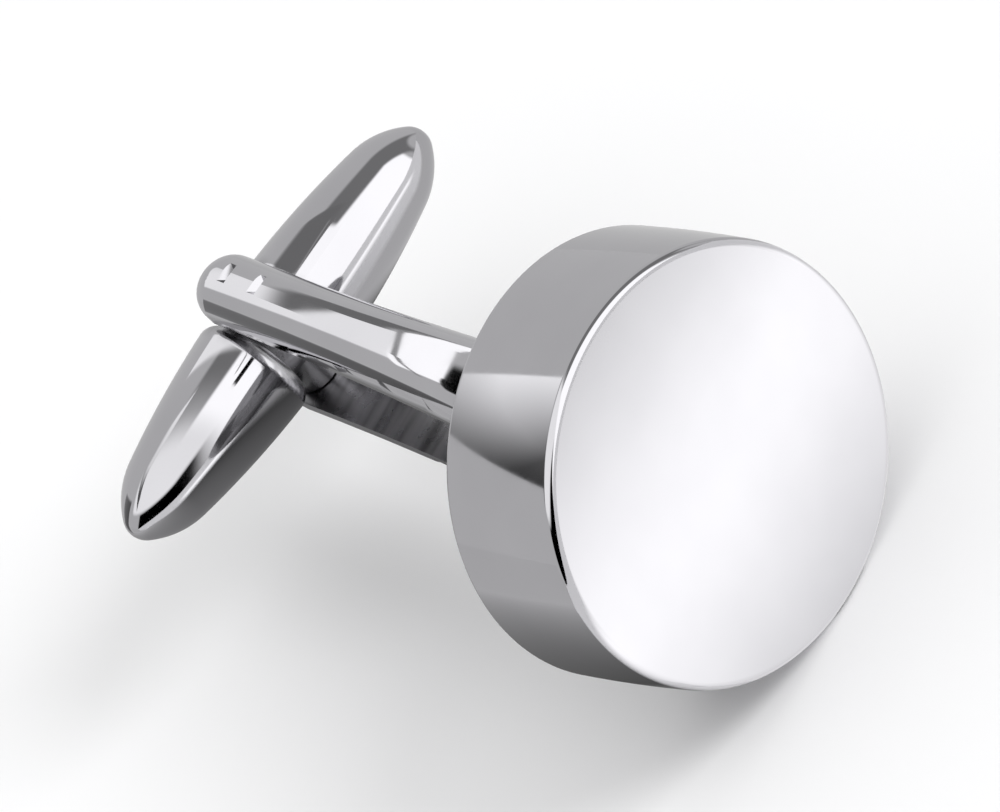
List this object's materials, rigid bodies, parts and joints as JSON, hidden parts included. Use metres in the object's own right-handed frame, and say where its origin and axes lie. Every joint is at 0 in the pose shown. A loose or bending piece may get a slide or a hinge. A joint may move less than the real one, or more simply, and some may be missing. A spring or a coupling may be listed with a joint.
{
  "type": "cufflink",
  "caption": "Cufflink with a thick round mirror-polished head, a forked post and a bullet-shaped toggle that turns on a pin between the post's arms to hold a shirt cuff closed.",
  "frame": {"origin": "middle of the head's front face", "axes": "+Y from the front face to the back, +Z along the pivot pin, +X to the side that the post leans to"},
  "size_m": [0.0186, 0.027, 0.015],
  "materials": {
    "polished_plate": "mirror polished plate",
    "pin_steel": "drawn wire, turned ends",
    "spring_steel": "rolled strip"
  },
  "bodies": {
    "link": {"head_cup": "polished_plate", "back_plate": "polished_plate", "yoke": "polished_plate", "pivot_pin": "pin_steel"},
    "toggle": {"toggle_hub": "polished_plate", "toggle_cap_right": "polished_plate", "toggle_cap_left": "polished_plate", "detent_spring_front": "spring_steel", "detent_spring_rear": "spring_steel"}
  },
  "joints": [
    {"name": "toggle_turn", "type": "hinge", "parent": "link", "child": "toggle", "pos_m": [0.00273, 0.02438, 0], "axis": [0, 0, 1], "range_deg": [-90, 90], "deforming": ["detent_spring_front", "detent_spring_rear"]}
  ]
}
